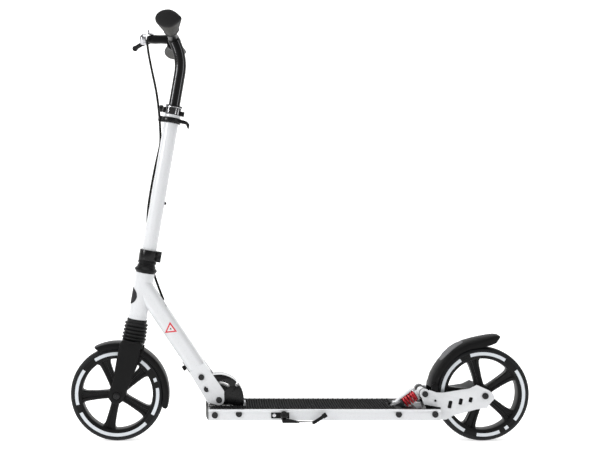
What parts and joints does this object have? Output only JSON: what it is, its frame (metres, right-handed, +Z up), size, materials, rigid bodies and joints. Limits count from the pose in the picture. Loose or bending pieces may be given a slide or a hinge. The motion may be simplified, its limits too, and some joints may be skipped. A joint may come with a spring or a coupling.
{
  "type": "kick scooter",
  "caption": "Child's folding kick scooter with big wheels, front and rear suspension, hand and foot brakes, height-adjustable handlebar and a side stand.",
  "frame": {"origin": "centre of the footprint, on the floor, midway between the wheel axles", "axes": "+X towards the rear wheel, +Y to the rider's right, +Z up"},
  "size_m": [1.002, 0.42, 0.9104],
  "materials": {
    "white_paint": "gloss white paint",
    "black_paint": "satin black paint",
    "black_plastic": "matte black plastic",
    "lever_black": "satin black",
    "tyre_rubber": "dark urethane",
    "rim_plastic": "moulded black plastic with silver bands",
    "grip_rubber": "soft textured rubber",
    "black_rubber": "black rubber",
    "grey_pad": "grey textured pad",
    "black_oxide": "black oxide steel",
    "pale_alloy": "satin aluminium",
    "bright_steel": "zinc plated steel",
    "chrome_trim": "polished chrome",
    "dark_steel": "dark plated steel",
    "red_spring": "red metallic enamel"
  },
  "bodies": {
    "deck": {"deck_shell": "white_paint", "deck_grip": "black_rubber", "nose_cap": "black_plastic", "tail_cover": "black_plastic", "deck_bolts": "black_oxide", "fold_quadrant": "pale_alloy", "quadrant_covers": "black_paint", "shock_rod": "dark_steel", "rear_spring": "red_spring", "shock_strap": "pale_alloy", "stand_bracket": "black_paint"},
    "front_frame": {"down_tube": "white_paint", "head_tube": "white_paint", "headset_cups": "bright_steel", "frame_bolts": "black_oxide", "latch_plate": "black_plastic", "cable_frame": "black_rubber"},
    "latch": {"latch_slider": "black_plastic"},
    "steering": {"steerer_tube": "dark_steel", "headset_bearings": "bright_steel", "headset_cover": "black_paint", "stem_tube": "white_paint", "stem_clamp": "black_paint", "stem_screws": "black_oxide", "top_collar": "black_paint", "quick_release_band": "black_paint", "fork_boot": "black_rubber", "cable_stem": "black_rubber"},
    "quick_release": {"quick_release_lever": "lever_black"},
    "knob": {"collar_knob": "lever_black"},
    "fork": {"fork": "black_paint", "fork_slider": "dark_steel", "front_spring": "dark_steel", "front_mudguard": "black_plastic", "front_axle": "black_oxide"},
    "front_wheel": {"front_tyre": "tyre_rubber", "front_rim": "rim_plastic", "front_bearings": "bright_steel"},
    "handlebar": {"upper_tube": "black_paint", "crossbar": "black_paint", "grip_left": "grip_rubber", "grip_right": "grip_rubber", "brake_mount": "black_plastic", "bell_dome": "chrome_trim", "cable_bar": "black_rubber"},
    "brake_lever": {"brake_lever": "lever_black"},
    "bell_striker": {"bell_striker": "chrome_trim"},
    "swing_arm": {"arm_cheek_left": "white_paint", "arm_cheek_right": "white_paint", "arm_yoke": "black_paint", "arm_bolts": "black_oxide", "rear_axle": "black_oxide"},
    "shock_head": {"shock_head": "dark_steel"},
    "rear_wheel": {"rear_tyre": "tyre_rubber", "rear_rim": "rim_plastic", "rear_bearings": "bright_steel"},
    "foot_brake": {"foot_brake": "black_plastic", "foot_pad": "grey_pad"},
    "stand": {"stand_leg": "black_paint", "stand_foot": "black_rubber"}
  },
  "joints": [
    {"name": "fold", "type": "hinge", "parent": "deck", "child": "front_frame", "pos_m": [-0.1766, 0, 0.0915], "axis": [0, 1, 0], "range_deg": [0, 80]},
    {"name": "latch_slide", "type": "slide", "parent": "front_frame", "child": "latch", "axis": [-0.5577, 0, 0.83], "range_m": [-0.006, 0.003]},
    {"name": "steering_turn", "type": "hinge", "parent": "front_frame", "child": "steering", "pos_m": [-0.38411, 0, 0.10002], "axis": [0.1702, 0, 0.9854], "range_deg": [-60, 60], "deforming": ["cable_stem"]},
    {"name": "fork_slide", "type": "slide", "parent": "steering", "child": "fork", "axis": [0.1702, 0, 0.9854], "range_m": [0, 0.014], "stiffness_N_per_m": 9000, "springref_m": -0.02, "deforming": ["fork_boot", "front_spring"]},
    {"name": "front_wheel_spin", "type": "hinge", "parent": "fork", "child": "front_wheel", "pos_m": [-0.3985, 0, 0.1025], "axis": [0, 1, 0], "continuous": true},
    {"name": "height_slide", "type": "slide", "parent": "steering", "child": "handlebar", "axis": [0.1702, 0, 0.9854], "range_m": [-0.05, 0.1], "deforming": ["cable_bar"]},
    {"name": "quick_release_turn", "type": "hinge", "parent": "steering", "child": "quick_release", "pos_m": [-0.30558, -0.0035, 0.70447], "axis": [-0.1702, 0, -0.9854], "range_deg": [0, 100]},
    {"name": "knob_turn", "type": "hinge", "parent": "steering", "child": "knob", "pos_m": [-0.30323, 0, 0.7269], "axis": [0.9854, 0, -0.1702], "range_deg": [-180, 180]},
    {"name": "brake_squeeze", "type": "hinge", "parent": "handlebar", "child": "brake_lever", "pos_m": [-0.33069, 0.088, 0.89297], "axis": [0, 0, -1], "range_deg": [0, 22], "stiffness_Nm_per_rad": 0.6, "springref_deg": -8.59},
    {"name": "bell_flick", "type": "hinge", "parent": "handlebar", "child": "bell_striker", "pos_m": [-0.32769, 0.074, 0.90137], "axis": [0, 0, 1], "range_deg": [0, 25], "stiffness_Nm_per_rad": 0.01, "springref_deg": -8.59},
    {"name": "rear_suspension", "type": "hinge", "parent": "deck", "child": "swing_arm", "pos_m": [0.284, 0, 0.0686], "axis": [0, -1, 0], "range_deg": [0, 8], "stiffness_Nm_per_rad": 160, "springref_deg": -6.88, "deforming": ["rear_spring"]},
    {"name": "shock_eye", "type": "hinge", "parent": "swing_arm", "child": "shock_head", "pos_m": [0.2684, 0, 0.1066], "axis": [0, -1, 0], "range_deg": [-8, 0]},
    {"name": "rear_wheel_spin", "type": "hinge", "parent": "swing_arm", "child": "rear_wheel", "pos_m": [0.3985, 0, 0.1025], "axis": [0, 1, 0], "continuous": true},
    {"name": "foot_brake_press", "type": "hinge", "parent": "swing_arm", "child": "foot_brake", "pos_m": [0.2906, 0, 0.0922], "axis": [0, 1, 0], "range_deg": [0, 4], "stiffness_Nm_per_rad": 8, "springref_deg": -8.59},
    {"name": "stand_swing", "type": "hinge", "parent": "deck", "child": "stand", "pos_m": [-0.0394, -0.0615, 0.0658], "axis": [0, 0.7431, -0.6691], "range_deg": [0, 86]}
  ],
  "couplings": [
    {"joint": "shock_eye", "follows": "rear_suspension", "ratio": -0.915}
  ]
}
